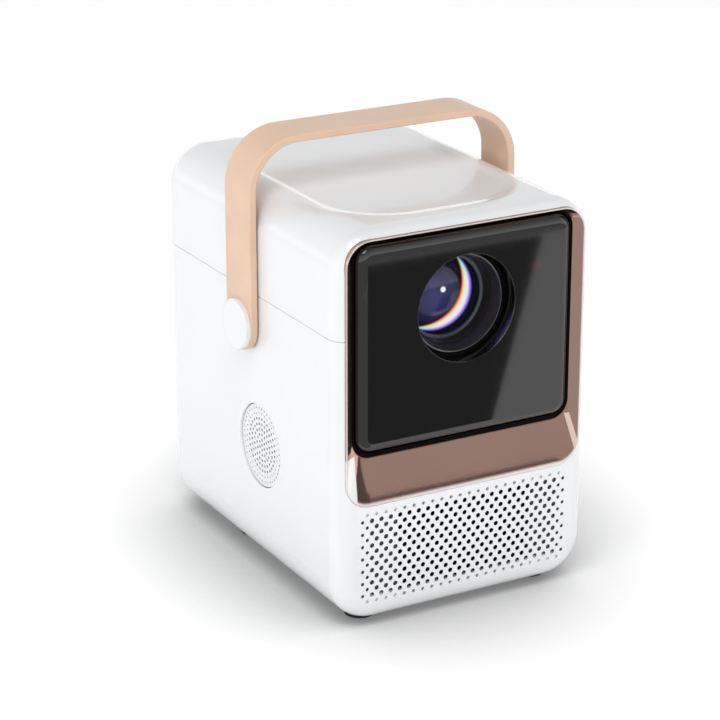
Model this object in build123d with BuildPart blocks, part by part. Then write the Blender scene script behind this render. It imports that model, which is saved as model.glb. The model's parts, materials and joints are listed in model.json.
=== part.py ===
from build123d import *
import math
import os

os.makedirs("parts", exist_ok=True)

# Home projector. Millimetres, +Z up, the projector faces -Y and its feet stand on z = 0.
# The origin is the centre of the footprint, on the surface that it stands on.

# Body
body_w = 132.0
body_d = 180.0
body_h = 185.0
foot_h = 2.5
wall = 2.5
top_wall = 4.5
profile_r = 20.0
front_r = 8.4
rear_r = 18.0
split_h = 136.4
groove = 0.35

# Finger dish in the top cover
dish_half = 52.0
dish_length = 147.5
dish_mid = -1.75
dish_corner = 38.0
dish_depth = 2.2
dish_soft = 12.0

# Front bezel and tinted panel
bezel_w = 122.8
bezel_h = 124.1
bezel_r = 12.0
bezel_low = 56.8
bezel_proud = 0.1
bezel_lip = 0.6
bezel_funnel = 3.6
bezel_depth = 6.1
bezel_back = 9.3
fit_gap = 0.1
panel_w = 110.8
panel_h = 97.0
panel_low = 81.2
panel_t = 5.6
panel_soft = 5.0
aperture_r = 25.0
glass_t = 1.2

# Air grille
hole_rows = 15
hole_cols = 22
hole_pitch = 4.83
row_pitch = 3.02
hole_r = 1.15
edge_hole_r = 0.85
grille_mid = 31.6
blind_depth = 1.2
through_half = 35.0

# Lens, fans and engine
lens_h = 141.9
barrel_r = 22.0
running = 0.05
focus_near = 1.0
focus_far = 4.0
tooth_module = 0.8
pinion_teeth = 12
fan_size = 50.0
fan_depth = 15.0
engine_half = 34.0
panel_flange = 0.5

# Handle
pivot_y = -3.8
pivot_h = 120.4
strap_w = 25.0
strap_t = 3.7
strap_corner = 26.0
strap_clear = 21.1
washer_t = 0.6
pin_r = 4.0

# Speakers
speaker_y = -15.2
speaker_h = 62.9
speaker_r = 20.2

# Positions that follow from the sizes above
front_y = -body_d / 2
rear_y = body_d / 2
side_x = body_w / 2
base_z = foot_h
top_z = foot_h + body_h
split_z = foot_h + split_h
floor_z = base_z + wall
inner_x = side_x - wall
lens_z = foot_h + lens_h
pivot_z = foot_h + pivot_h
speaker_z = foot_h + speaker_h
foot_spots = [(x, y) for x in (-46.0, 46.0) for y in (-74.0, 31.0)]
engine_spots = [(x, y) for x in (-38.0, 38.0) for y in (-44.0, 48.0)]
supply_spots = [(x, y) for x in (-29.0, 29.0) for y in (-36.0, 56.0)]
board_spots = [(x, z) for x in (-34.0, 34.0) for z in (50.0, 98.0)]
engine_low = lens_z - engine_half
lens_seat_r = barrel_r - 2.0
rear_seat_r = barrel_r - 4.5
engine_front = -50.0
engine_rear = 56.0
intake_z = 33.5
exhaust_z = 134.0
panel_rear_low = 26.0
panel_rear_high = 166.0
panel_rear_half = 44.0
button_x = -28.0
button_z = 84.0
supply_z = 16.0
board_y = 76.0
board_t = 1.6


def facing_front(y):
    return Plane(origin=(0, y, 0), x_dir=(1, 0, 0), z_dir=(0, -1, 0))


def block(x0, x1, y0, y1, z0, z1, mode=Mode.ADD):
    with Locations(((x0 + x1) / 2, (y0 + y1) / 2, (z0 + z1) / 2)):
        Box(abs(x1 - x0), abs(y1 - y0), abs(z1 - z0), mode=mode)


def rod_x(x0, x1, y, z, r, mode=Mode.ADD):
    with Locations(Location(((x0 + x1) / 2, y, z), (0, 90, 0))):
        Cylinder(r, abs(x1 - x0), mode=mode)


def rod_y(y0, y1, x, z, r, mode=Mode.ADD):
    with Locations(Location((x, (y0 + y1) / 2, z), (90, 0, 0))):
        Cylinder(r, abs(y1 - y0), mode=mode)


def rod_z(z0, z1, x, y, r, mode=Mode.ADD):
    with Locations((x, y, (z0 + z1) / 2)):
        Cylinder(r, abs(z1 - z0), mode=mode)


def cone_x(x0, x1, y, z, r0, r1, mode=Mode.ADD):
    turn = 90 if x1 > x0 else -90
    with Locations(Location(((x0 + x1) / 2, y, z), (0, turn, 0))):
        Cone(r0, r1, abs(x1 - x0), mode=mode)


def save(piece, label):
    piece.label = label
    export_step(piece, f"parts/{label}.step")


def rounded_body(inset, top_inset):
    """The soft-cornered box, taken in by inset on its sides and by top_inset at the top."""
    height = body_h - inset - top_inset
    middle = base_z + inset + height / 2
    with BuildPart() as solid:
        with BuildSketch(facing_front(front_y + inset)):
            with Locations((0, middle)):
                RectangleRounded(body_w - 2 * inset, height, profile_r - inset)
        extrude(amount=-(body_d - 2 * inset))
        fillet(solid.edges().group_by(Axis.Y)[0], front_r - inset)
        fillet(solid.edges().group_by(Axis.Y)[-1], rear_r - inset)
    return solid.part


outer_solid = rounded_body(0, 0)
inner_solid = rounded_body(wall, top_wall)
groove_solid = rounded_body(0.5, 0.5)


def cut_front_opening():
    with BuildSketch(facing_front(front_y - 1)) as outline:
        with Locations((0, foot_h + bezel_low + bezel_h / 2)):
            RectangleRounded(bezel_w + 2 * fit_gap, bezel_h + 2 * fit_gap, bezel_r + fit_gap)
    return outline.sketch


def cut_rear_opening():
    with BuildSketch(facing_front(rear_y + 1)) as outline:
        with Locations((0, (panel_rear_low + panel_rear_high) / 2)):
            RectangleRounded(
                2 * panel_rear_half + 2 * fit_gap,
                panel_rear_high - panel_rear_low + 2 * fit_gap,
                8 + fit_gap,
            )
    return outline.sketch


front_opening = cut_front_opening()
rear_opening = cut_rear_opening()
opening_depth = bezel_back - bezel_proud + fit_gap + 1

# Grille holes: two lists of hole centres for each size, through and blind
wide_through = []
wide_blind = []
narrow_blind = []
narrow_through = []
for row in range(hole_rows):
    odd = row % 2
    count = hole_cols + odd
    for col in range(count):
        x = (col - (count - 1) / 2) * hole_pitch
        z = foot_h + grille_mid + ((hole_rows - 1) / 2 - row) * row_pitch
        edge = row in (0, hole_rows - 1) or col in (0, count - 1)
        inside = abs(x) < through_half
        if edge and inside:
            narrow_through.append((x, z))
        elif edge:
            narrow_blind.append((x, z))
        elif inside:
            wide_through.append((x, z))
        else:
            wide_blind.append((x, z))

with BuildPart() as lower_shell:
    add(outer_solid)
    add(inner_solid, mode=Mode.SUBTRACT)
    split(bisect_by=Plane.XY.offset(split_z), keep=Keep.BOTTOM)
    for x, y in foot_spots:
        rod_z(base_z + 0.5, split_z, x, y, 4.5)
    for x, y in engine_spots:
        rod_z(base_z + 1, engine_low, x, y, 3.5)
    for x, y in supply_spots:
        rod_z(base_z + 1, supply_z, x, y, 3.0)
    rod_z(base_z + 0.5, 13.5, 0, 0, 8.0)
    for side in (-1, 1):
        rod_x(side * (inner_x + 1), side * 56.0, pivot_y, pivot_z, 8.0)
    extrude(front_opening, amount=-opening_depth, mode=Mode.SUBTRACT)
    extrude(rear_opening, amount=wall + 2, mode=Mode.SUBTRACT)
    for x, y in foot_spots:
        rod_z(base_z - 1, base_z + 0.8, x, y, 7.1, Mode.SUBTRACT)
        rod_z(base_z - 1, split_z - 12, x, y, 3.3, Mode.SUBTRACT)
        rod_z(split_z - 13, split_z + 1, x, y, 1.5, Mode.SUBTRACT)
    for x, y in engine_spots:
        rod_z(engine_low - 12, engine_low + 1, x, y, 1.25, Mode.SUBTRACT)
    rod_z(base_z - 1, 12.6, 0, 0, 5.0, Mode.SUBTRACT)
    for side in (-1, 1):
        rod_x(side * (side_x + 1), side * 57.0, pivot_y, pivot_z, 3.0, Mode.SUBTRACT)
        rod_x(side * (side_x + 1), side * (inner_x - 1), speaker_y, speaker_z, speaker_r, Mode.SUBTRACT)
    with BuildSketch(facing_front(front_y - 1)):
        with Locations(wide_through):
            Circle(hole_r)
        with Locations(narrow_through):
            Circle(edge_hole_r)
    extrude(amount=-(wall + 2), mode=Mode.SUBTRACT)
    with BuildSketch(facing_front(front_y - 1)):
        with Locations(wide_blind):
            Circle(hole_r)
        with Locations(narrow_blind):
            Circle(edge_hole_r)
    extrude(amount=-(blind_depth + 1), mode=Mode.SUBTRACT)
    with BuildPart(mode=Mode.PRIVATE) as seam:
        block(-side_x - 1, side_x + 1, front_y - 1, rear_y + 1, split_z - groove, split_z + 1)
        add(groove_solid, mode=Mode.SUBTRACT)
    add(seam.part, mode=Mode.SUBTRACT)
save(lower_shell.part, "lower_shell")

with BuildPart() as dish:
    with BuildSketch(Plane.XY.offset(top_z)):
        with Locations((0, dish_mid)):
            RectangleRounded(2 * dish_half, dish_length, dish_corner)
    with BuildSketch(Plane.XY.offset(top_z - dish_depth)):
        with Locations((0, dish_mid)):
            RectangleRounded(2 * dish_half - 14, dish_length - 14, dish_corner - 7)
    loft()
    fillet(dish.edges().group_by(Axis.Z)[0], dish_soft)


def on_dish_slope(face):
    """True for the faces that slope down from the dish's rim."""
    spot = face.center()
    inside = abs(spot.X) < dish_half and abs(spot.Y - dish_mid) < dish_length / 2
    return inside and top_z - dish_depth + 0.2 < spot.Z < top_z - 0.05


def on_dish_rim(edge):
    """True for the dish's upper edges, which dip a little where the cover's shoulders fall."""
    return edge.center().Z > top_z - 0.6 and edge.bounding_box().size.Z < 0.9


with BuildPart() as top_cover:
    add(outer_solid)
    add(inner_solid, mode=Mode.SUBTRACT)
    split(bisect_by=Plane.XY.offset(split_z), keep=Keep.TOP)
    for x, y in foot_spots:
        rod_z(split_z, top_z - top_wall + 1, x, y, 4.5)
    add(dish.part, mode=Mode.SUBTRACT)
    fillet(top_cover.faces().filter_by(on_dish_slope).edges().filter_by(on_dish_rim), dish_soft)
    extrude(front_opening, amount=-opening_depth, mode=Mode.SUBTRACT)
    extrude(rear_opening, amount=wall + 2, mode=Mode.SUBTRACT)
    for x, y in foot_spots:
        rod_z(split_z - 1, split_z + 12, x, y, 1.5, Mode.SUBTRACT)
save(top_cover.part, "top_cover")

# Bezel: a shallow funnel that ends in a back plate, with a pocket that carries the tinted panel
bezel_y = front_y - bezel_proud
plate_y = bezel_y + bezel_depth
bezel_mid = foot_h + bezel_low + bezel_h / 2
funnel_low = foot_h + panel_low - 1.6
funnel_high = foot_h + bezel_low + bezel_h - bezel_lip - 1.0
with BuildPart() as front_bezel:
    with BuildSketch(facing_front(bezel_y)):
        with Locations((0, bezel_mid)):
            RectangleRounded(bezel_w, bezel_h, bezel_r)
    extrude(amount=-bezel_back)
    fillet(front_bezel.edges().group_by(Axis.Y)[0], 0.25)
    with BuildSketch(facing_front(bezel_y)):
        with Locations((0, bezel_mid)):
            RectangleRounded(bezel_w - 2 * bezel_lip, bezel_h - 2 * bezel_lip, bezel_r - bezel_lip)
    with BuildSketch(facing_front(bezel_y + bezel_funnel)):
        with Locations((0, (funnel_low + funnel_high) / 2)):
            RectangleRounded(panel_w + 2.4, funnel_high - funnel_low, 9.0)
    loft(mode=Mode.SUBTRACT)
    with BuildSketch(facing_front(bezel_y + bezel_funnel - 0.5)):
        with Locations((0, foot_h + panel_low + panel_h / 2)):
            RectangleRounded(panel_w + 2 * fit_gap, panel_h + 2 * fit_gap, 8.0 + fit_gap)
    extrude(amount=-(bezel_depth - bezel_funnel + 0.5), mode=Mode.SUBTRACT)
    rod_y(plate_y - 1, plate_y + glass_t, 0, lens_z, aperture_r + 1.5, Mode.SUBTRACT)
    rod_y(plate_y - 1, plate_y + 10, 0, lens_z, aperture_r, Mode.SUBTRACT)
    rod_y(plate_y - 1, plate_y + 10, 36.3, foot_h + 156.0, 3.2, Mode.SUBTRACT)
save(front_bezel.part, "front_bezel")

with BuildPart() as lens_window:
    with BuildSketch(facing_front(plate_y)):
        with Locations((0, foot_h + panel_low + panel_h / 2)):
            RectangleRounded(panel_w, panel_h, 8.0)
    extrude(amount=panel_t)
    fillet(lens_window.edges().group_by(Axis.Y)[0], panel_soft)
    rod_y(plate_y - 10, plate_y + 1, 0, lens_z, aperture_r, Mode.SUBTRACT)
    fillet(lens_window.edges().filter_by(GeomType.CIRCLE).group_by(Axis.Y)[0], 0.3)
save(lens_window.part, "lens_window")

with BuildPart() as window_glass:
    rod_y(plate_y, plate_y + glass_t, 0, lens_z, aperture_r + 1.5)
save(window_glass.part, "window_glass")

plate_back = bezel_y + bezel_back
with BuildPart() as ir_receiver:
    block(29.5, 43.1, plate_back, plate_back + 1.2, foot_h + 150.5, foot_h + 161.5)
    rod_y(plate_y + 0.2, plate_back + 0.1, 36.3, foot_h + 156.0, 3.1)
save(ir_receiver.part, "ir_receiver")

with BuildPart() as light_shroud:
    rod_y(plate_back, -71.0, 0, lens_z, aperture_r + 2)
    rod_y(plate_back, -71.0, 0, lens_z, aperture_r, Mode.SUBTRACT)
save(light_shroud.part, "light_shroud")

# Optical engine
tube_front = -69.5
with BuildPart() as engine_housing:
    block(-engine_half, engine_half, engine_front, engine_rear, engine_low, lens_z + engine_half)
    block(
        -engine_half + 2,
        engine_half - 2,
        engine_front + 3,
        engine_rear + 1,
        engine_low + 2,
        lens_z + engine_half - 2,
        Mode.SUBTRACT,
    )
    fillet(engine_housing.edges().filter_by(Axis.Y).group_by(SortBy.LENGTH)[-1], 1.0)
    rod_y(tube_front, engine_front + 1, 0, lens_z, barrel_r + 3)
    rod_y(tube_front - 1, engine_front + 4, 0, lens_z, barrel_r + running, Mode.SUBTRACT)
    block(-3.0, 3.0, tube_front - 1, engine_front, lens_z - 30, lens_z - 20, Mode.SUBTRACT)
    for x, y in engine_spots:
        inward = math.copysign(engine_half - 1, x)
        block(inward, math.copysign(42.0, x), y - 5, y + 5, engine_low, engine_low + 3)
    for x, y in engine_spots:
        rod_z(engine_low - 1, engine_low + 4, x, y, 1.6, Mode.SUBTRACT)
save(engine_housing.part, "engine_housing")

inner_half = engine_half - 2


def dome(y_base, y_top, r):
    """A spherical cap on the lens axis, of base radius r; it comes first in its part."""
    sag = abs(y_top - y_base)
    ball = (r * r + sag * sag) / (2 * sag)
    rod_y(y_base, y_top + math.copysign(1.0, y_top - y_base), 0, lens_z, r + 0.8)
    with Locations((0, y_top + math.copysign(ball, y_base - y_top), lens_z)):
        Sphere(ball, mode=Mode.INTERSECT)


def optic_plate(y0, thickness):
    block(-inner_half, inner_half, y0, y0 + thickness, lens_z - inner_half, lens_z + inner_half)


with BuildPart() as front_fresnel:
    optic_plate(-4.0, 2.0)
save(front_fresnel.part, "front_fresnel")

with BuildPart() as lcd_panel:
    optic_plate(2.0, 2.6)
    block(-25, 25, 1.0, 2.4, lens_z - 16, lens_z + 16, Mode.SUBTRACT)
save(lcd_panel.part, "lcd_panel")

with BuildPart() as rear_fresnel:
    optic_plate(10.0, 2.0)
save(rear_fresnel.part, "rear_fresnel")

with BuildPart() as condenser_lens:
    dome(40.0, 32.5, 24.0)
    optic_plate(40.0, 2.0)
save(condenser_lens.part, "condenser_lens")

with BuildPart() as led_board:
    block(-engine_half, engine_half, engine_rear, engine_rear + 1.6, engine_low, lens_z + engine_half)
save(led_board.part, "led_board")

with BuildPart() as led_emitter:
    block(-9, 9, engine_rear - 1.2, engine_rear, lens_z - 9, lens_z + 9)
save(led_emitter.part, "led_emitter")

sink_y = engine_rear + 1.6
with BuildPart() as heat_sink:
    block(-32, 32, sink_y, sink_y + 3, lens_z - 32, lens_z + 32)
    for fin in range(13):
        fin_x = -31.4 + fin * 62.8 / 12
        block(fin_x - 0.6, fin_x + 0.6, sink_y + 2, sink_y + 12.4, lens_z - 32, lens_z + 32)
save(heat_sink.part, "heat_sink")

with BuildPart() as engine_screws:
    for x, y in engine_spots:
        rod_z(engine_low + 3, engine_low + 5, x, y, 2.7)
        rod_z(engine_low - 8, engine_low + 3.5, x, y, 1.25)
save(engine_screws.part, "engine_screws")

# Focus barrel, with the rack below it
barrel_front = -81.6
with BuildPart() as lens_barrel:
    with BuildSketch(Plane.YZ):
        with BuildLine():
            Polyline(
                (barrel_front, lens_z + barrel_r + 0.7),
                (barrel_front + 0.8, lens_z + barrel_r + 1.5),
                (barrel_front + 6, lens_z + barrel_r + 1.5),
                (barrel_front + 6, lens_z + barrel_r),
                (-47.5, lens_z + barrel_r),
                (-47.5, lens_z + barrel_r - 1),
                (-38, lens_z + barrel_r - 1),
                (-38, lens_z + rear_seat_r),
                (-66, lens_z + rear_seat_r),
                (-66, lens_z + lens_seat_r),
                (-75, lens_z + lens_seat_r),
                (-75, lens_z + lens_seat_r + 0.8),
                (barrel_front, lens_z + barrel_r),
                close=True,
            )
        make_face()
    revolve(axis=Axis((0, 0, lens_z), (0, 1, 0)), revolution_arc=360)
save(lens_barrel.part, "lens_barrel")

with BuildPart() as front_lens:
    dome(-68.4, -73.4, lens_seat_r - 1.6)
    rod_y(-68.4, -66.0, 0, lens_z, lens_seat_r)
save(front_lens.part, "front_lens")

with BuildPart() as retaining_ring:
    rod_y(-70.2, -68.4, 0, lens_z, lens_seat_r)
    rod_y(-70.3, -68.3, 0, lens_z, lens_seat_r - 1.4, Mode.SUBTRACT)
save(retaining_ring.part, "retaining_ring")

with BuildPart() as rear_lens:
    dome(-43.0, -39.2, rear_seat_r)
    rod_y(-46.0, -43.0, 0, lens_z, rear_seat_r)
save(rear_lens.part, "rear_lens")

pitch_r = tooth_module * pinion_teeth / 2
tooth_pitch = math.pi * tooth_module
rack_low = lens_z - barrel_r - 5.3
pitch_z = rack_low + tooth_module
pinion_z = pitch_z - pitch_r
pinion_y = -62.0
rack_ends = (-68.5, -54.5)
with BuildPart() as focus_rack:
    block(-2.5, 2.5, rack_ends[0], rack_ends[1], pitch_z + 1.0, lens_z - barrel_r + 1.0)
    rod_y(rack_ends[0] - 1, rack_ends[1] + 1, 0, lens_z, barrel_r, Mode.SUBTRACT)
    with BuildSketch(Plane.YZ.offset(-2.5)):
        for step in range(-2, 3):
            mid = pinion_y + step * tooth_pitch
            with BuildLine():
                Polyline(
                    (mid - 0.85, pitch_z + 1.1),
                    (mid - 0.27, rack_low),
                    (mid + 0.27, rack_low),
                    (mid + 0.85, pitch_z + 1.1),
                    close=True,
                )
            make_face()
    extrude(amount=5.0)
save(focus_rack.part, "focus_rack")

bracket_x = 3.4
with BuildPart() as focus_pinion:
    with BuildSketch(Plane.YZ.offset(-2.4)):
        with Locations((pinion_y, pinion_z)):
            Circle(pitch_r - 1.0)
            with PolarLocations(0, pinion_teeth, start_angle=90 + 180 / pinion_teeth):
                Polygon(
                    (pitch_r - 1.3, 0.72),
                    (pitch_r - 1.3, -0.72),
                    (pitch_r, -0.50),
                    (pitch_r + 0.7, -0.24),
                    (pitch_r + 0.7, 0.24),
                    (pitch_r, 0.50),
                    align=None,
                )
    extrude(amount=4.8)
    rod_x(2.3, bracket_x + 3.5, pinion_y, pinion_z, 1.0)
save(focus_pinion.part, "focus_pinion")

with BuildPart() as focus_bracket:
    block(bracket_x, bracket_x + 1.5, -70.8, engine_front, pinion_z - 10.1, pinion_z + 5.9)
    rod_x(bracket_x - 1, bracket_x + 3, pinion_y, pinion_z, 1.0 + running, Mode.SUBTRACT)
save(focus_bracket.part, "focus_bracket")

with BuildPart() as focus_motor:
    rod_x(bracket_x + 1.5, bracket_x + 13.5, pinion_y, pinion_z, 6.0)
    rod_x(bracket_x + 1, bracket_x + 4, pinion_y, pinion_z, 1.0 + running, Mode.SUBTRACT)
save(focus_motor.part, "focus_motor")


# Fans: the open side is at y_open and the spokes are at the other end, along y by way
def fan_frame(y_open, way, z):
    half = fan_size / 2
    far = y_open + way * fan_depth
    with BuildPart() as frame:
        with BuildSketch(facing_front(min(y_open, far))):
            with Locations((0, z)):
                RectangleRounded(fan_size, fan_size, 4)
                with GridLocations(41, 41, 2, 2):
                    Circle(1.5, mode=Mode.SUBTRACT)
        extrude(amount=-fan_depth)
        rod_y(y_open - way, far + way, 0, z, half - 1.2, Mode.SUBTRACT)
        for turn in (45, 135):
            with Locations(Location((0, far - way * 1.0, z), (0, turn, 0))):
                Box(fan_size - 1.4, 2.0, 3.0)
        rod_y(far - way * 2, far, 0, z, 12.0)
        rod_y(far - way * 12, far, 0, z, 10.8)
        rod_y(far - way * 13, far - way * 1, 0, z, 1.5 + running, Mode.SUBTRACT)
    return frame.part


def fan_rotor(y_open, way, z):
    near = y_open + way * 0.8
    back = y_open + way * 12.4
    with BuildPart() as rotor:
        rod_y(near, back, 0, z, 13.0)
        for blade in range(7):
            angle = blade * 360 / 7
            spot = Location((0, y_open + way * 6.7, z)) * Location((0, 0, 0), (0, angle, 0))
            with Locations(spot * Location((17.6, 0, 0), (35 * way, 0, 0))):
                Box(10.6, 10.5, 1.0)
        rod_y(near + way * 1.2, back + way, 0, z, 11.6, Mode.SUBTRACT)
        rod_y(near + way * 0.6, back, 0, z, 1.5)
    return rotor.part


intake_y = front_y + wall + 0.6
panel_flat = rear_y - wall - panel_flange
exhaust_y = panel_flat
save(fan_frame(intake_y, 1, intake_z), "intake_fan_frame")
save(fan_rotor(intake_y, 1, intake_z), "intake_fan_rotor")
save(fan_frame(exhaust_y, -1, exhaust_z), "exhaust_fan_frame")
save(fan_rotor(exhaust_y, -1, exhaust_z), "exhaust_fan_rotor")

# Rear panel with vents, ports and its board posts
ports = [(-20.0, 58.0, 15.2, 6.2), (2.0, 58.0, 14.6, 7.2), (26.0, 36.0, 24.2, 16.2)]
with BuildPart() as rear_panel:
    with BuildSketch(facing_front(rear_y)):
        with Locations((0, (panel_rear_low + panel_rear_high) / 2)):
            RectangleRounded(2 * panel_rear_half, panel_rear_high - panel_rear_low, 8)
    extrude(amount=rear_y - panel_flat)
    fillet(rear_panel.edges().group_by(Axis.Y)[-1], 0.6)
    with BuildSketch(facing_front(panel_flat)):
        with Locations((0, (panel_rear_low + panel_rear_high) / 2)):
            RectangleRounded(95, panel_rear_high - panel_rear_low + 3.0, 8)
    extrude(amount=-panel_flange)
    for x, z in board_spots:
        rod_y(board_y + board_t, panel_flat + 1, x, z, 3.0)
    for slot in range(12):
        slot_z = exhaust_z - 22 + slot * 4
        block(-16.5, 16.5, panel_flat - 1, rear_y + 1, slot_z - 1.0, slot_z + 1.0, Mode.SUBTRACT)
    for x, z, w, h in ports:
        block(x - w / 2, x + w / 2, panel_flat - 1, rear_y + 1, z - h / 2, z + h / 2, Mode.SUBTRACT)
    rod_y(panel_flat - 1, rear_y + 1, 20.0, 58.0, 4.1, Mode.SUBTRACT)
    rod_y(panel_flat - 1, rear_y + 1, button_x, button_z, 4.8, Mode.SUBTRACT)
    with Locations(*[Location((x, rear_y, exhaust_z + z), (-90, 0, 0)) for x in (-20.5, 20.5) for z in (-20.5, 20.5)]):
        CounterSinkHole(1.5, 2.8, depth=3.5)
save(rear_panel.part, "rear_panel")

with BuildPart() as fan_screws:
    for x in (-20.5, 20.5):
        for z in (exhaust_z - 20.5, exhaust_z + 20.5):
            rod_y(panel_flat - 9, rear_y - 1.3, x, z, 1.5)
            with Locations(Location((x, rear_y - 0.65, z), (-90, 0, 0))):
                Cone(1.5, 2.8, 1.3)
            block(x - 1.6, x + 1.6, rear_y - 0.5, rear_y + 1, z - 0.3, z + 0.3, Mode.SUBTRACT)
            block(x - 0.3, x + 0.3, rear_y - 0.5, rear_y + 1, z - 1.6, z + 1.6, Mode.SUBTRACT)
save(fan_screws.part, "fan_screws")

with BuildPart() as main_board:
    block(-38, 38, board_y, board_y + board_t, 46, 102)
save(main_board.part, "main_board")

board_face = board_y + board_t
with BuildPart() as video_port:
    block(-27.5, -12.5, board_face, rear_y - 0.6, 55.0, 61.0)
    block(-27.0, -13.0, rear_y - 10.5, rear_y, 55.6, 60.3, Mode.SUBTRACT)
    block(-25.0, -15.0, rear_y - 11, rear_y - 2.5, 57.4, 58.3)
save(video_port.part, "video_port")

with BuildPart() as usb_port:
    block(-5.2, 9.2, board_face, rear_y - 0.6, 54.5, 61.5)
    block(-4.4, 8.4, rear_y - 10.5, rear_y, 55.2, 60.8, Mode.SUBTRACT)
    block(-3.6, 7.6, rear_y - 11, rear_y - 2.0, 58.9, 60.9)
save(usb_port.part, "usb_port")

with BuildPart() as audio_jack:
    block(15.5, 24.5, board_face, panel_flat - 0.6, 53.5, 62.5)
    rod_y(panel_flat - 1, rear_y + 0.3, 20.0, 58.0, 4.0)
    rod_y(board_face + 1, rear_y + 1, 20.0, 58.0, 1.8, Mode.SUBTRACT)
save(audio_jack.part, "audio_jack")

with BuildPart() as board_cooler:
    block(-30, -12, board_face, board_face + 1.5, 66, 76)
    for fin in range(5):
        fin_x = -29.3 + fin * 4.15
        block(fin_x - 0.6, fin_x + 0.6, board_face + 1, board_face + 6, 66, 76)
save(board_cooler.part, "board_cooler")

with BuildPart() as power_inlet:
    block(14, 38, rear_y - 18, rear_y - 0.4, 28, 44)
    with BuildSketch(facing_front(rear_y)):
        with Locations((26, 36)):
            RectangleRounded(17.6, 9.6, 4.2)
    extrude(amount=14.0, mode=Mode.SUBTRACT)
    for x in (21.4, 30.6):
        rod_y(rear_y - 15, rear_y - 4, x, 36.0, 1.2)
save(power_inlet.part, "power_inlet")

with BuildPart() as button_switch:
    block(button_x - 3, button_x + 3, board_face, board_face + 3.0, button_z - 3, button_z + 3)
    rod_y(board_face + 2.5, board_face + 4.0, button_x, button_z, 1.4)
save(button_switch.part, "button_switch")

flange_y = panel_flat - 0.7
with BuildPart() as power_button:
    rod_y(flange_y - 1.5, rear_y + 0.4, button_x, button_z, 4.5)
    rod_y(flange_y - 1.5, flange_y, button_x, button_z, 5.6)
    rod_y(board_face + 5.4, flange_y - 1, button_x, button_z, 1.6)
    fillet(power_button.edges().group_by(Axis.Y)[-1], 0.3)
save(power_button.part, "power_button")

spring_span = flange_y - 1.5 - board_face
spring_wire = 0.4
with BuildPart() as button_spring:
    with BuildLine() as coil:
        Helix(
            pitch=(spring_span - 2 * spring_wire) / 3.5,
            height=spring_span - 2 * spring_wire,
            radius=4.9,
            center=(button_x, board_face + spring_wire, button_z),
            direction=(0, 1, 0),
        )
    with BuildSketch(Plane(origin=coil.line @ 0, z_dir=coil.line % 0)):
        Circle(spring_wire)
    sweep()
save(button_spring.part, "button_spring")

# Power supply
with BuildPart() as supply_board:
    block(-33, 33, -40, 60, supply_z, supply_z + 1.6)
save(supply_board.part, "supply_board")

supply_top = supply_z + 1.6
with BuildPart() as transformer:
    block(-26, 0, 20, 46, supply_top, supply_top + 20)
    block(-29, 3, 26, 40, supply_top + 3, supply_top + 17)
save(transformer.part, "transformer")

with BuildPart() as supply_capacitor:
    rod_y(-28, 4, 16, supply_top + 9, 9.0)
    fillet(supply_capacitor.edges().group_by(Axis.Y)[0], 1.0)
save(supply_capacitor.part, "supply_capacitor")

with BuildPart() as supply_cooler:
    block(-28, -25, -30, 10, supply_top, supply_top + 24)
    for fin in range(5):
        fin_y = -29.0 + fin * 9.5
        block(-26, -16, fin_y - 0.8, fin_y + 0.8, supply_top, supply_top + 24)
save(supply_cooler.part, "supply_cooler")


# Speakers, one in each side wall
def speaker_grille(side):
    face = side * (side_x - 1.0)
    with BuildPart() as grille:
        rod_x(face, side * inner_x, speaker_y, speaker_z, speaker_r - 0.35)
        rod_x(side * inner_x, side * (inner_x - 1.2), speaker_y, speaker_z, speaker_r + 2.3)
        holes = [(0.0, 0.0)]
        small = []
        for ring in range(1, 8):
            for step in range(6 * ring):
                angle = 2 * math.pi * (step + 0.5 * ring) / (6 * ring)
                spot = (ring * 2.55 * math.cos(angle), ring * 2.55 * math.sin(angle))
                if ring < 6:
                    holes.append(spot)
                else:
                    small.append(spot)
        with BuildSketch(Plane.YZ.offset(min(face, side * (inner_x - 1.2)) - 1)):
            with Locations(*[(speaker_y + u, speaker_z + v) for u, v in holes]):
                Circle(0.75)
            with Locations(*[(speaker_y + u, speaker_z + v) for u, v in small]):
                Circle(0.5)
        extrude(amount=6.0, mode=Mode.SUBTRACT)
    return grille.part


def speaker_basket(side):
    rim = side * (inner_x - 1.2)
    with BuildPart() as basket:
        rod_x(rim, rim - side * 1.5, speaker_y, speaker_z, speaker_r + 2.3)
        cone_x(rim - side * 1.5, rim - side * 10, speaker_y, speaker_z, speaker_r, 11.0)
        cone_x(rim - side * 0.0, rim - side * 8.6, speaker_y, speaker_z, speaker_r - 1.2, 9.6, Mode.SUBTRACT)
        rod_x(rim, rim - side * 11, speaker_y, speaker_z, 7.7, Mode.SUBTRACT)
        for turn in range(4):
            angle = math.radians(45 + turn * 90)
            dy = 16.5 * math.cos(angle)
            dz = 16.5 * math.sin(angle)
            rod_x(rim - side * 1.5, rim - side * 11, speaker_y + dy, speaker_z + dz, 3.2, Mode.SUBTRACT)
    return basket.part


def speaker_cone(side):
    rim = side * (inner_x - 1.2)
    with BuildPart() as cone:
        cone_x(rim - side * 1.0, rim - side * 9.0, speaker_y, speaker_z, speaker_r - 2.3, 7.0)
        cone_x(rim - side * 0.2, rim - side * 8.2, speaker_y, speaker_z, speaker_r - 2.6, 6.7, Mode.SUBTRACT)
        rod_x(rim - side * 8.0, rim - side * 10.0, speaker_y, speaker_z, 7.0)
    return cone.part


def speaker_magnet(side):
    rim = side * (inner_x - 1.2)
    with BuildPart() as magnet:
        rod_x(rim - side * 10, rim - side * 18, speaker_y, speaker_z, 12.0)
        fillet(magnet.edges(), 0.6)
    return magnet.part


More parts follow.
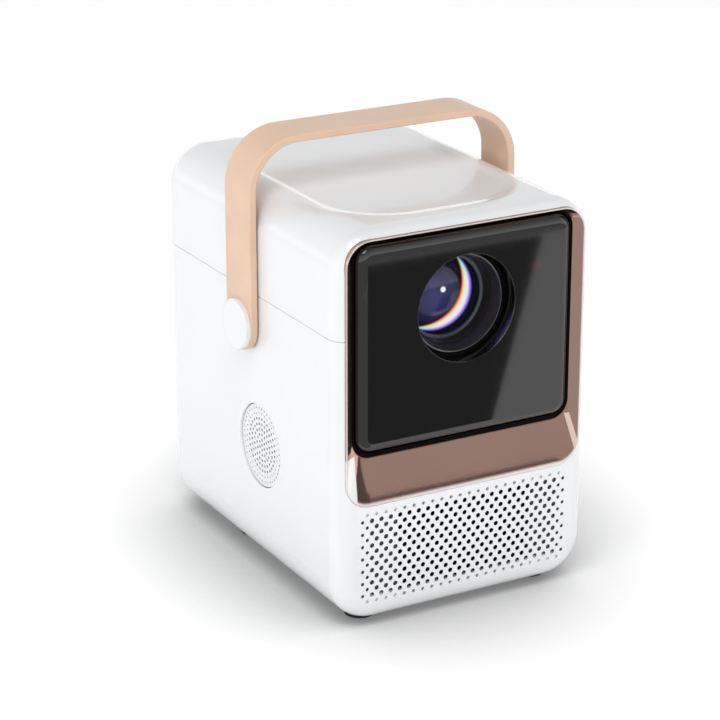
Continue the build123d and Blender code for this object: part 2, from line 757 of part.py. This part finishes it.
for side, word in ((-1, "left"), (1, "right")):
    save(speaker_grille(side), f"speaker_grille_{word}")
    save(speaker_basket(side), f"speaker_basket_{word}")
    save(speaker_cone(side), f"speaker_cone_{word}")
    save(speaker_magnet(side), f"speaker_magnet_{word}")

# Feet, base screws and the tripod insert
with BuildPart() as feet:
    for x, y in foot_spots:
        rod_z(0, base_z + 0.8, x, y, 7.0)
    fillet(feet.edges().group_by(Axis.Z)[0], 0.6)
save(feet.part, "feet")

with BuildPart() as base_screws:
    for x, y in foot_spots:
        rod_z(split_z - 14.5, split_z - 12, x, y, 2.8)
        rod_z(split_z - 12.5, split_z + 10, x, y, 1.5)
        rod_z(split_z - 15, split_z - 13.5, x, y, 1.2, Mode.SUBTRACT)
save(base_screws.part, "base_screws")

with BuildPart() as tripod_insert:
    rod_z(base_z + 0.1, 12.6, 0, 0, 5.0)
    rod_z(base_z - 1, 11.6, 0, 0, 3.175, Mode.SUBTRACT)
save(tripod_insert.part, "tripod_insert")

# Handle: a stiff leather-covered strap on two pivot pins
strap_in = side_x + washer_t + running
strap_out = strap_in + strap_t
strap_high = top_z + strap_clear + strap_t
with BuildPart() as handle_strap:
    with BuildSketch(facing_front(pivot_y - strap_w / 2)):
        with BuildLine():
            FilletPolyline(
                (-strap_out, pivot_z),
                (-strap_out, strap_high),
                (strap_out, strap_high),
                (strap_out, pivot_z),
                radius=strap_corner,
            )
            Line((strap_out, pivot_z), (strap_in, pivot_z))
            FilletPolyline(
                (strap_in, pivot_z),
                (strap_in, strap_high - strap_t),
                (-strap_in, strap_high - strap_t),
                (-strap_in, pivot_z),
                radius=strap_corner - strap_t,
            )
            Line((-strap_in, pivot_z), (-strap_out, pivot_z))
        make_face()
    extrude(amount=-strap_w)
    for side in (-1, 1):
        rod_x(side * strap_in, side * strap_out, pivot_y, pivot_z, strap_w / 2)
    long_edges = handle_strap.edges().filter_by(lambda e: abs(e.length - strap_t) > 0.01 and abs(e.center().Y - pivot_y) > 3)
    fillet(long_edges, 0.7)
    for side in (-1, 1):
        rod_x(side * (strap_in - 1), side * (strap_out + 1), pivot_y, pivot_z, pin_r + running, Mode.SUBTRACT)
save(handle_strap.part, "handle_strap")

head_x = strap_out + 0.1


with BuildPart() as pivot_washers:
    for side in (-1, 1):
        rod_x(side * side_x, side * (side_x + washer_t), pivot_y, pivot_z, 9.5)
        rod_x(side * (side_x - 1), side * (side_x + 2), pivot_y, pivot_z, 3.0, Mode.SUBTRACT)
save(pivot_washers.part, "pivot_washers")

with BuildPart() as pivot_pins:
    for side in (-1, 1):
        rod_x(side * 57.5, side * (side_x + washer_t), pivot_y, pivot_z, 3.0)
        rod_x(side * (side_x + washer_t), side * head_x, pivot_y, pivot_z, pin_r)
        rod_x(side * head_x, side * (head_x + 1.1), pivot_y, pivot_z, 6.5)
save(pivot_pins.part, "pivot_pins")


def pivot_cap(side):
    with BuildPart() as cap:
        rod_x(side * strap_out, side * (strap_out + 2.5), pivot_y, pivot_z, 12.0)
        fillet(cap.edges().group_by(Axis.X)[-1 if side > 0 else 0], 1.0)
        rod_x(side * (strap_out - 1), side * (strap_out + 1.7), pivot_y, pivot_z, 8.0, Mode.SUBTRACT)
    return cap.part


for side, word in ((-1, "left"), (1, "right")):
    save(pivot_cap(side), f"pivot_cap_{word}")
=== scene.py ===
import bpy
import json
import math
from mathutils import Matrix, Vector


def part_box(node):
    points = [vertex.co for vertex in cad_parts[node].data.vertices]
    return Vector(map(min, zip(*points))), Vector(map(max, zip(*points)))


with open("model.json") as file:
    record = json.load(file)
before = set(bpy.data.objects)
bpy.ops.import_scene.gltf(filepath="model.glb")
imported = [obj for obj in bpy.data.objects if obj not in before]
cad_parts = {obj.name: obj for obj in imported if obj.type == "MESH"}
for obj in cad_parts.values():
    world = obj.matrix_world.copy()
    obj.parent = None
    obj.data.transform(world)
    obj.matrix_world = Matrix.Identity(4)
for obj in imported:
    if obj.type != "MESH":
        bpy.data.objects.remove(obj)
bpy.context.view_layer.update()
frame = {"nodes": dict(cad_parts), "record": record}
SCENE = bpy.context.scene
SCENE.view_settings.view_transform = "Standard"

# Camera, at the photograph's viewing angle
camera_data = bpy.data.cameras.new("camera")
camera_data.lens = 129.92
camera_data.sensor_width = 36.0
camera_data.clip_start = 0.05
camera_data.clip_end = 60.0
camera = bpy.data.objects.new("camera", camera_data)
camera.location = (-0.5698, -1.0158, 0.5197)
camera.rotation_euler = (math.radians(69.796), 0.0, math.radians(-29.10))
SCENE.collection.objects.link(camera)
SCENE.camera = camera


# ---------------------------------------------------------------- node helpers
class Look:
    """A material under construction: its nodes, links and principled shader."""

    def __init__(self, name):
        self.material = bpy.data.materials.new(name)
        self.material.use_nodes = True
        self.tree = self.material.node_tree
        self.tree.nodes.clear()
        self.out = self.add("ShaderNodeOutputMaterial")
        self.shader = self.add("ShaderNodeBsdfPrincipled")
        self.link(self.shader.outputs["BSDF"], self.out.inputs["Surface"])
        self.coords = self.add("ShaderNodeTexCoord").outputs["Object"]

    def add(self, kind, **settings):
        node = self.tree.nodes.new(kind)
        for key, value in settings.items():
            setattr(node, key, value)
        return node

    def link(self, source, target):
        self.tree.links.new(source, target)

    def set(self, **values):
        """Constants on the shader's own sockets; an underscore stands for a space."""
        for key, value in values.items():
            self.shader.inputs[key.replace("_", " ")].default_value = value

    def colour(self, source):
        self.link(source, self.shader.inputs["Base Color"])

    def colour_so_far(self):
        return self.shader.inputs["Base Color"].links[0].from_socket

    def roughness(self, source):
        self.link(source, self.shader.inputs["Roughness"])

    def glow(self, source):
        self.link(source, self.shader.inputs["Emission Color"])

    def bump(self, height, distance, strength=1.0):
        node = self.add("ShaderNodeBump")
        node.inputs["Distance"].default_value = distance
        node.inputs["Strength"].default_value = strength
        self.link(height, node.inputs["Height"])
        self.link(node.outputs["Normal"], self.shader.inputs["Normal"])

    def axes(self):
        node = self.add("ShaderNodeSeparateXYZ")
        self.link(self.coords, node.inputs["Vector"])
        return node.outputs

    def noise(self, scale, detail=3.0, stretch=(1, 1, 1)):
        """Fractal noise from 0 to 1 over object coordinates."""
        node = self.add("ShaderNodeTexNoise")
        node.inputs["Scale"].default_value = scale
        node.inputs["Detail"].default_value = detail
        vector = self.coords
        if stretch != (1, 1, 1):
            mapping = self.add("ShaderNodeMapping")
            mapping.inputs["Scale"].default_value = stretch
            self.link(vector, mapping.inputs["Vector"])
            vector = mapping.outputs["Vector"]
        self.link(vector, node.inputs["Vector"])
        return node.outputs["Fac"]

    def cells(self, scale):
        """Distance to the nearest of many scattered points."""
        node = self.add("ShaderNodeTexVoronoi")
        node.inputs["Scale"].default_value = scale
        self.link(self.coords, node.inputs["Vector"])
        return node.outputs["Distance"]

    def ramp(self, value, stops):
        """A colour ramp; stops are (position, colour)."""
        node = self.add("ShaderNodeValToRGB")
        elements = node.color_ramp.elements
        elements[0].position, elements[0].color = stops[0][0], (*stops[0][1], 1)
        elements[1].position, elements[1].color = stops[-1][0], (*stops[-1][1], 1)
        for position, colour in stops[1:-1]:
            elements.new(position).color = (*colour, 1)
        self.link(value, node.inputs["Fac"])
        return node.outputs["Color"]

    def drift(self, noise, first, second):
        """A colour that wanders between two close ones."""
        return self.ramp(noise, [(0.3, first), (0.7, second)])

    def span(self, value, low, high, start=0.0, end=1.0):
        """value from start to end, moved onto low to high and held there beyond them."""
        node = self.add("ShaderNodeMapRange")
        node.inputs["From Min"].default_value = start
        node.inputs["From Max"].default_value = end
        node.inputs["To Min"].default_value = low
        node.inputs["To Max"].default_value = high
        self.link(value, node.inputs["Value"])
        return node.outputs["Result"]

    def rise(self, value, start, end):
        """0 up to start and 1 from end on."""
        return self.span(value, 0.0, 1.0, start, end)

    def fall(self, value, start, end):
        """1 up to start and 0 from end on."""
        return self.span(value, 1.0, 0.0, start, end)

    def math(self, operation, *values):
        node = self.add("ShaderNodeMath", operation=operation)
        for i, value in enumerate(values):
            if isinstance(value, (int, float)):
                node.inputs[i].default_value = value
            else:
                self.link(value, node.inputs[i])
        return node.outputs[0]

    def mix(self, factor, a, b, blend="MIX"):
        """Colour a where factor is 0, with b blended over it where factor is 1."""
        node = self.add("ShaderNodeMix", data_type="RGBA", blend_type=blend)
        for i, value in ((0, factor), (6, a), (7, b)):
            if isinstance(value, (int, float)):
                node.inputs[i].default_value = value
            elif isinstance(value, tuple):
                node.inputs[i].default_value = (*value, 1)
            else:
                self.link(value, node.inputs[i])
        return node.outputs[2]


def tinted(colour, gain):
    return tuple(min(1.0, c * gain) for c in colour)


# ---------------------------------------------------------------- masks
def zone(look, value, low, high, soft):
    """1 where value lies between low and high, falling to 0 over a soft edge outside."""
    return both(look, look.rise(value, low - soft, low), look.fall(value, high, high + soft))


def both(look, first, *others):
    """Where every one of the masks is 1."""
    for other in others:
        first = look.math("MULTIPLY", first, other)
    return first


def either(look, first, other):
    """Where one of the two masks is 1."""
    return look.math("MAXIMUM", first, other)


def distance_from(look, x, z):
    """Distance from the line that runs front to back through x and z."""
    axes = look.axes()
    dx = look.math("SUBTRACT", axes["X"], x)
    dz = look.math("SUBTRACT", axes["Z"], z)
    squares = (look.math("MULTIPLY", side, side) for side in (dx, dz))
    return look.math("SQRT", look.math("ADD", *squares))


# ---------------------------------------------------------------- plain plastics and metals
FLOW_SCALE = 35.0
POLISH_SCALE = 180.0
MARK_SCALE = 900.0
MARK_DEPTH = 0.000008
SHELL_COAT = 0.6
COAT_ROUGHNESS = 0.06

# Colour, range of roughness, scale and depth of the grain, drift of the colour, clear coat
PLASTICS = {
    "gloss_white": ((0.80, 0.815, 0.83), (0.2, 0.28), 1400.0, 0.000006, 0.008, SHELL_COAT),
    "white_grille": ((0.78, 0.795, 0.81), (0.28, 0.36), 2600.0, 0.000008, 0.012, 0.3),
    "black_plastic": ((0.012, 0.012, 0.013), (0.38, 0.5), 4200.0, 0.00002, 0.12, 0.0),
    "satin_black": ((0.02, 0.02, 0.022), (0.25, 0.36), 3600.0, 0.00001, 0.1, 0.0),
    "rubber_black": ((0.014, 0.014, 0.014), (0.6, 0.8), 3000.0, 0.00004, 0.15, 0.0),
    "grey_plastic": ((0.52, 0.53, 0.55), (0.4, 0.52), 3000.0, 0.00002, 0.02, 0.0),
    "board_green": ((0.012, 0.09, 0.04), (0.25, 0.4), 700.0, 0.00002, 0.3, 0.4),
    "paper_cone": ((0.02, 0.02, 0.02), (0.7, 0.9), 1500.0, 0.00006, 0.3, 0.0),
    "ferrite": ((0.05, 0.05, 0.053), (0.5, 0.7), 1500.0, 0.00004, 0.2, 0.0),
    "led_yellow": ((0.78, 0.6, 0.1), (0.5, 0.6), 4000.0, 0.00002, 0.08, 0.0),
    "coil_yellow": ((0.55, 0.38, 0.05), (0.35, 0.5), 500.0, 0.00005, 0.15, 0.0),
}

# Colour, range of roughness, how closely the marks are packed along each axis
METALS = {
    "aluminium": ((0.72, 0.73, 0.74), (0.28, 0.42), (1, 1, 0.05)),
    "steel": ((0.6, 0.6, 0.62), (0.2, 0.34), (1, 1, 1)),
    "steel_shell": ((0.68, 0.68, 0.7), (0.14, 0.24), (1, 0.05, 1)),
    "brass": ((0.72, 0.52, 0.22), (0.2, 0.32), (1, 1, 1)),
}


def moulded(name, colour, rough, grain, depth, drift, coat):
    """Moulded plastic and the like: faint flow marks in the colour, a fine surface grain."""
    look = Look(name)
    flow = look.noise(FLOW_SCALE, 4.0)
    look.colour(look.drift(flow, tinted(colour, 1 - drift), tinted(colour, 1 + drift)))
    look.roughness(look.span(look.noise(POLISH_SCALE), *rough))
    look.bump(look.noise(grain, 2.0), depth)
    look.set(Coat_Weight=coat, Coat_Roughness=COAT_ROUGHNESS)
    return look


def metal(name, colour, rough, packing):
    """Bare or plated metal with fine marks."""
    look = Look(name)
    marks = look.noise(MARK_SCALE, 3.0, packing)
    look.colour(look.ramp(marks, [(0.25, tinted(colour, 0.88)), (0.75, tinted(colour, 1.06))]))
    look.roughness(look.span(marks, *rough))
    look.bump(marks, MARK_DEPTH)
    look.set(Metallic=1.0)
    return look


# ---------------------------------------------------------------- painted shade on the walls of the holes
GRILLE_LOW = 0.0155
GRILLE_HIGH = 0.0535
GRILLE_HALF = 0.0562
THROUGH_HALF = 0.0345
GRILLE_LIP = 0.0005
GRILLE_DEPTH = 0.008
SPEAKER_LIP = 0.0003
SPEAKER_SOFT = 0.0004
BLIND_WALL_SHADE = (0.1, 0.1, 0.105)
THROUGH_WALL_SHADOW = (0.006, 0.006, 0.007)
SPEAKER_WALL_SHADE = (0.03, 0.03, 0.032)


def shade_grille(look):
    """Painted shade on the walls inside the front grille's holes: black where they go through, grey
    where blind.
    """
    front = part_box("lower_shell")[0].y
    axes = look.axes()
    across = look.math("ABSOLUTE", axes["X"])
    inside = both(
        look,
        zone(look, axes["Y"], front + GRILLE_LIP, front + GRILLE_DEPTH, soft=0.0004),
        zone(look, axes["Z"], GRILLE_LOW, GRILLE_HIGH, soft=0.0005),
        zone(look, across, 0.0, GRILLE_HALF, soft=0.0005),
    )
    through = zone(look, across, 0.0, THROUGH_HALF, soft=0.0004)
    # Painted shade: the hole walls take a dark colour for the shadow inside the holes
    painted_wall_shade = look.mix(through, BLIND_WALL_SHADE, THROUGH_WALL_SHADOW)
    look.colour(look.mix(inside, look.colour_so_far(), painted_wall_shade))
    outside = look.math("SUBTRACT", 1.0, inside)
    look.link(look.math("MULTIPLY", outside, SHELL_COAT), look.shader.inputs["Coat Weight"])


def shade_speaker(look):
    """Painted shade on the walls of the side grilles' holes, which stand in shadow."""
    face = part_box("speaker_grille_right")[1].x
    across = look.math("ABSOLUTE", look.axes()["X"])
    inside = look.fall(across, face - SPEAKER_LIP - SPEAKER_SOFT, face - SPEAKER_LIP)
    # Painted shade: a dark colour on the hole walls
    look.colour(look.mix(inside, look.colour_so_far(), SPEAKER_WALL_SHADE))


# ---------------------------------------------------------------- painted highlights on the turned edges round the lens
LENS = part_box("front_lens")
LENS_X = (LENS[0].x + LENS[1].x) / 2
LENS_Z = (LENS[0].z + LENS[1].z) / 2
LENS_R = (LENS[1].x - LENS[0].x) / 2
BARREL_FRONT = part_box("lens_barrel")[0].y
BARREL_RIM = (0.0226, 0.0232)
BARREL_PAINTED_HIGHLIGHT = (0.16, 0.16, 0.165)
RING_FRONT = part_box("retaining_ring")[0].y
RING_RIM = (0.0165, LENS_R)
RING_PAINTED_HIGHLIGHT = (0.07, 0.076, 0.105)


def paint_rim_highlight(look, radii, front, depth, colour):
    """A painted highlight: a turned edge round the lens glows where it would catch the light."""
    around = zone(look, distance_from(look, LENS_X, LENS_Z), *radii, soft=0.00025)
    along = zone(look, look.axes()["Y"], front, front + depth, soft=0.0001)
    uneven = look.span(look.noise(60.0, 2.0), 0.55, 1.0, 0.3, 0.7)
    look.glow(look.mix(both(look, around, along, uneven), (0, 0, 0), colour))
    look.set(Emission_Strength=1.0)


# ---------------------------------------------------------------- the bezel
ROSE = ((0.545, 0.345, 0.285), (0.57, 0.36, 0.30))
LIP_PAINTED_HIGHLIGHT = (0.93, 0.83, 0.8)
LEFT_PAINTED_GLINT = (0.99, 0.97, 0.96)
RIGHT_PAINTED_GLINT = (0.92, 0.72, 0.64)
GLINT_LEAN = 0.243
GLINT_OUT = 0.0007
POCKET_PAINTED_SHADE = (0.006, 0.005, 0.005)
POCKET_DEPTH = 0.0034
SATIN_ROUGHNESS = 0.4
POCKET_ROUGHNESS = 0.5


def rose_chrome():
    """Rose-gold plating, mirror bright with a trace of orange peel. Its lip and two corners of
    its mouth are satin with painted highlights in pale colours, and the pocket round the panel is
    painted black as painted shade."""
    look = Look("rose_chrome")
    plated = look.drift(look.noise(22.0, 2.0), *ROSE)
    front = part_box("front_bezel")[0].y
    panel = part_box("lens_window")
    axes = look.axes()
    lip = look.fall(axes["Y"], front + 0.00005, front + 0.0003)
    below = look.fall(axes["Z"], panel[0].z - 0.0006, panel[0].z - 0.0002)
    left = look.fall(axes["X"], panel[0].x - 0.0004, panel[0].x)
    # The right painted glint starts at the panel's corner and leans outwards as it goes down
    leaning = look.math("MULTIPLY_ADD", axes["Z"], GLINT_LEAN, axes["X"])
    middle = panel[1].x + GLINT_OUT + panel[0].z * GLINT_LEAN
    right = zone(look, leaning, middle - 0.0014, middle + 0.001, soft=0.0002)
    satin_and_highlight = either(look, lip, both(look, below, either(look, left, right)))
    # Painted shade: the pocket round the panel is coloured black
    pocket_shade = look.rise(axes["Y"], front + POCKET_DEPTH, front + POCKET_DEPTH + 0.0001)
    # Painted highlights: the lip and the two corner strips take pale and near-white colours
    painted_pale = look.mix(both(look, below, left), LIP_PAINTED_HIGHLIGHT, LEFT_PAINTED_GLINT)
    painted_pale = look.mix(both(look, below, right), painted_pale, RIGHT_PAINTED_GLINT)
    look.colour(look.mix(pocket_shade, look.mix(satin_and_highlight, plated, painted_pale), POCKET_PAINTED_SHADE))
    polish = look.span(look.noise(260.0), 0.03, 0.06)
    rough = look.math("MAXIMUM", polish, look.math("MULTIPLY", satin_and_highlight, SATIN_ROUGHNESS))
    look.roughness(look.math("MAXIMUM", rough, look.math("MULTIPLY", pocket_shade, POCKET_ROUGHNESS)))
    look.bump(look.noise(120.0, 1.0), 0.000002)
    look.set(Metallic=1.0)
    return look


# ---------------------------------------------------------------- the dark panel
PANEL_BLACK = ((0.0026, 0.0026, 0.0028), (0.0034, 0.0034, 0.0036))
SPOT_RED = (0.035, 0.005, 0.007)
SPOT_R = 0.0025
SPOT_SOFT = 0.0014


def tinted_acrylic():
    """Near-black polished acrylic; the receiver shows through it as a dim red spot."""
    look = Look("tinted_acrylic")
    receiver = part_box("ir_receiver")
    spot_x = (receiver[0].x + receiver[1].x) / 2
    spot_z = (receiver[0].z + receiver[1].z) / 2
    base = look.drift(look.noise(60.0), *PANEL_BLACK)
    spot = look.fall(distance_from(look, spot_x, spot_z), SPOT_R - SPOT_SOFT, SPOT_R + SPOT_SOFT)
    look.colour(look.mix(spot, base, SPOT_RED))
    look.roughness(look.span(look.noise(300.0), 0.03, 0.06))
    look.set(IOR=1.7)
    return look


# ---------------------------------------------------------------- the strap
TAN = ((0.72, 0.495, 0.355), (0.76, 0.53, 0.385))
PORE_BROWN = (0.6, 0.38, 0.26)
PORE_SCALE = 2600.0
LEATHER_DEPTH = 0.00003


def leather_tan():
    """Smooth peach-tan leather with a very fine grain and faintly darker pores."""
    look = Look("leather_tan")
    pores = look.cells(PORE_SCALE)
    base = look.drift(look.noise(45.0, 4.0), *TAN)
    look.colour(look.mix(look.span(pores, 0.06, 0.0, 0.0, 0.5), base, PORE_BROWN))
    look.roughness(look.span(look.noise(900.0), 0.42, 0.55))
    grain = look.math("ADD", pores, look.math("MULTIPLY", look.noise(1200.0), 0.5))
    look.bump(grain, LEATHER_DEPTH, 0.6)
    look.set(Sheen_Weight=0.15, Sheen_Roughness=0.4)
    return look


# ---------------------------------------------------------------- clear pieces
def clear(name, tint, least):
    """A coated clear pane or moulding, seen through, with a sharp reflection. least is how much
    of its own surface shows where it is met head on."""
    look = Look(name)
    look.colour(look.drift(look.noise(90.0), tinted(tint, 0.97), tint))
    look.roughness(look.span(look.noise(400.0), 0.02, 0.05))
    through = look.add("ShaderNodeBsdfTransparent")
    edge = look.add("ShaderNodeFresnel")
    edge.inputs["IOR"].default_value = 1.25
    blend = look.add("ShaderNodeMixShader")
    look.link(look.span(edge.outputs["Fac"], least, 1.0), blend.inputs["Fac"])
    look.link(through.outputs["BSDF"], blend.inputs[1])
    look.link(look.shader.outputs["BSDF"], blend.inputs[2])
    look.link(blend.outputs["Shader"], look.out.inputs["Surface"])
    return look


# ---------------------------------------------------------------- the front lens
# Places on the glass are (across, up) from its axis, and they and the radii are in lens radii.
# The painted flare, a glow in the glass, is a crescent: outside the inner circle and inside the
# outer one.
INNER_CIRCLE = (-0.72, 0.468)
INNER_R = 1.127
OUTER_CIRCLE = (-0.262, 0.152)
OUTER_R = 0.944
FLARE_SOFT = 0.03
PAINTED_GLOW_MIDDLE = (-0.4, 0.05)
PAINTED_SPARK = (-0.13, 0.21)
GLASS_MIDDLE = (-0.35, 0.1)

# From the middle of the glass outwards
GLASS_COLOURS = [
    (0.0, (0.04, 0.042, 0.15)),
    (0.45, (0.022, 0.022, 0.085)),
    (0.8, (0.008, 0.008, 0.03)),
    (1.0, (0.002, 0.002, 0.006)),
]
# Across the painted flare, from its inner circle to its outer one
PAINTED_FLARE_COLOURS = [
    (0.0, (0.75, 0.08, 0.01)),
    (0.14, (1.0, 0.62, 0.2)),
    (0.3, (1.0, 0.97, 0.8)),
    (0.6, (0.95, 0.97, 1.0)),
    (0.8, (0.5, 0.38, 0.95)),
    (1.0, (0.1, 0.03, 0.5)),
]
# By the painted flare's width, from its thin tips to its middle
PAINTED_TIP_COLOURS = [(0.0, (0.05, 0.25, 0.2)), (0.12, (0.5, 0.9, 0.75)), (0.26, (1, 1, 1))]
DARK_PAINTED_GLOW = (0.001, 0.001, 0.003)
BLUE_PAINTED_GLOW = (0.012, 0.014, 0.07)
WHITE = (1.0, 1.0, 1.0)


def coated_lens():
    """Blue-violet coated glass with a painted flare to one side: a rainbow crescent, a white glint
    and a blue glow, all glowing in its surface.
    """
    look = Look("coated_lens")

    def reach(place):
        """Distance from a place on the glass."""
        across, up = place
        distance = distance_from(look, LENS_X + across * LENS_R, LENS_Z + up * LENS_R)
        return look.math("DIVIDE", distance, LENS_R)

    look.colour(look.ramp(reach(GLASS_MIDDLE), GLASS_COLOURS))
    past_inner = look.math("SUBTRACT", reach(INNER_CIRCLE), INNER_R)
    short_of_outer = look.math("SUBTRACT", OUTER_R, reach(OUTER_CIRCLE))
    width = look.math("ADD", past_inner, short_of_outer)
    part_way = look.math("DIVIDE", past_inner, look.math("MAXIMUM", width, 0.02))
    sides = (look.rise(side, -FLARE_SOFT, 0.0) for side in (past_inner, short_of_outer))
    crescent = both(look, *sides)
    rainbow = look.ramp(part_way, PAINTED_FLARE_COLOURS)
    lit = look.mix(1.0, rainbow, look.ramp(width, PAINTED_TIP_COLOURS), blend="MULTIPLY")
    painted_deep_glow = look.mix(look.fall(reach(PAINTED_GLOW_MIDDLE), 0.1, 0.75), DARK_PAINTED_GLOW, BLUE_PAINTED_GLOW)
    painted_flare = look.mix(crescent, painted_deep_glow, lit)
    painted_glint = look.fall(reach(PAINTED_SPARK), 0.05, 0.075)
    # Painted reflection: the white glint glows over the painted flare
    look.glow(look.mix(painted_glint, painted_flare, WHITE))
    look.roughness(look.span(look.noise(300.0), 0.02, 0.05))
    look.set(IOR=1.5, Coat_Weight=0.3, Coat_Roughness=0.03, Emission_Strength=1.0)
    return look


# ---------------------------------------------------------------- dressing the CAD nodes
def all_looks():
    """Every material slot's look, by the slot's name."""
    looks = {name: moulded(name, *values) for name, values in PLASTICS.items()}
    looks |= {name: metal(name, *values) for name, values in METALS.items()}
    shade_grille(looks["gloss_white"])
    shade_speaker(looks["white_grille"])
    # Painted highlights, glowing in the material, on the barrel's front edge and the retaining
    # ring's rim
    paint_rim_highlight(looks["black_plastic"], BARREL_RIM, BARREL_FRONT, 0.0003, BARREL_PAINTED_HIGHLIGHT)
    paint_rim_highlight(looks["satin_black"], RING_RIM, RING_FRONT, 0.0004, RING_PAINTED_HIGHLIGHT)
    looks["rose_chrome"] = rose_chrome()
    looks["tinted_acrylic"] = tinted_acrylic()
    looks["leather_tan"] = leather_tan()
    looks["clear_glass"] = clear("clear_glass", (0.02, 0.022, 0.026), 0.06)
    looks["clear_acrylic"] = clear("clear_acrylic", (0.5, 0.52, 0.55), 0.35)
    looks["coated_lens"] = coated_lens()
    return looks


def dress_nodes():
    """Each CAD node takes the look of the slot that its record gives it."""
    looks = all_looks()
    slot_of = {row["node"]: row["material_slot"] for row in frame["record"]["subparts"]}
    for name, node in frame["nodes"].items():
        look = looks[slot_of[name]]
        if not node.material_slots:
            node.data.materials.append(look.material)
        for material_slot in node.material_slots:
            material_slot.material = look.material


dress_nodes()

# ---------------------------------------------------------------- studio
HORIZON_LIGHT = 1.8
ZENITH_LIGHT = 0.22
FLOOR_REACH = 9.0
FLOOR_WHITE = (0.92, 0.92, 0.92)
SHADOW_GREY = (0.3, 0.3, 0.3)
SHADOW_REACH = 0.1


def studio_world():
    """Soft light from all round: bright near the horizon, dimmer overhead."""
    world = bpy.data.worlds.new("studio")
    SCENE.world = world
    world.use_nodes = True
    tree = world.node_tree
    tree.nodes.clear()
    out = tree.nodes.new("ShaderNodeOutputWorld")
    back = tree.nodes.new("ShaderNodeBackground")
    coords = tree.nodes.new("ShaderNodeTexCoord")
    split = tree.nodes.new("ShaderNodeSeparateXYZ")
    level = tree.nodes.new("ShaderNodeMapRange")
    level.inputs["To Min"].default_value = HORIZON_LIGHT
    level.inputs["To Max"].default_value = ZENITH_LIGHT
    tree.links.new(coords.outputs["Generated"], split.inputs["Vector"])
    tree.links.new(split.outputs["Z"], level.inputs["Value"])
    tree.links.new(level.outputs["Result"], back.inputs["Strength"])
    tree.links.new(back.outputs["Background"], out.inputs["Surface"])


def flat_sheet(name, corners, look):
    """One flat face with these corners."""
    mesh = bpy.data.meshes.new(name)
    mesh.from_pydata(corners, [], [tuple(range(len(corners)))])
    mesh.materials.append(look.material)
    sheet = bpy.data.objects.new(name, mesh)
    SCENE.collection.objects.link(sheet)
    return sheet


def pale_floor():
    """A white floor with a painted shadow: its colour and its glow darken softly under the object
    and close to it.
    """
    look = Look("floor")
    openness = look.add("ShaderNodeAmbientOcclusion", samples=12)
    openness.inputs["Distance"].default_value = SHADOW_REACH
    # Painted shadow: ambient occlusion darkens the floor's colour and glow near the object
    shade = look.ramp(openness.outputs["AO"], [(0.35, SHADOW_GREY), (0.97, FLOOR_WHITE)])
    look.colour(shade)
    look.roughness(look.span(look.noise(40.0), 0.75, 0.85))
    look.glow(shade)
    look.set(Emission_Strength=0.4, Specular_IOR_Level=0.1)
    signs = ((-1, -1), (1, -1), (1, 1), (-1, 1))
    floor = flat_sheet("floor", [(x * FLOOR_REACH, y * FLOOR_REACH, 0) for x, y in signs], look)


def reflector(name, corners, level):
    """A card that only shows in reflections, as a studio flag does. It isn't part of the object."""
    look = Look(name)
    strength = look.span(look.noise(1.5, 1.0), level * 0.97, level * 1.03)
    look.link(strength, look.shader.inputs["Emission Strength"])
    look.set(Base_Color=(0, 0, 0, 1), Emission_Color=(1, 1, 1, 1))
    look.set(Specular_IOR_Level=0.0, Roughness=1.0)
    card = flat_sheet(name, corners, look)
    card.visible_camera = card.visible_diffuse = card.visible_shadow = False
    card.visible_transmission = card.visible_volume_scatter = False


def softbox(name, place, aim, size, power):
    """A square area light that faces a point on the object."""
    data = bpy.data.lights.new(name, "AREA")
    data.shape = "SQUARE"
    data.size = size
    data.energy = power
    lamp = bpy.data.objects.new(name, data)
    lamp.location = place
    lamp.rotation_euler = (Vector(aim) - Vector(place)).to_track_quat("-Z", "Y").to_euler()
    SCENE.collection.objects.link(lamp)


# ---------------------------------------------------------------- what the panel and shell mirror
CARD_Z = 0.0006
CARD_LEFT = -1.2
CARD_RIGHT = 1.8
FLAG_FAR = -0.548
FRONT_NEAR = -0.551
FRONT_FAR = -3.0
BACK_Y = 1.0

# (x, y) of each card that lies over the floor in front of the object
FLAG_RIGHT = [(0.033, -0.26), (0.119, -0.26), (0.34, FLAG_FAR), (0.153, FLAG_FAR)]
FLAG_LEFT = [
    (CARD_LEFT, -0.12),
    (-0.03, -0.12),
    (-0.003, -0.18),
    (0.15, FLAG_FAR),
    (CARD_LEFT, FLAG_FAR),
]
CARD_FRONT = [
    (CARD_LEFT, FRONT_NEAR),
    (CARD_RIGHT, FRONT_NEAR),
    (CARD_RIGHT, FRONT_FAR),
    (CARD_LEFT, FRONT_FAR),
]
# (x, z) of the card that stands behind it
CARD_BACK = [(-1.5, 0.35), (2.5, 0.35), (2.5, 1.3), (-1.5, 1.3)]


def lying(outline):
    return [(x, y, CARD_Z) for x, y in outline]


def standing(outline):
    return [(x, BACK_Y, z) for x, z in outline]


studio_world()
pale_floor()
reflector("flag_right", lying(FLAG_RIGHT), 0.14)
reflector("flag_left", lying(FLAG_LEFT), 0.55)
reflector("card_front", lying(CARD_FRONT), 0.52)
reflector("card_back", standing(CARD_BACK), 0.85)
softbox("softbox_left", (-0.65, -0.65, 1.5), (0.0, 0.0, 0.12), 0.9, 9.0)
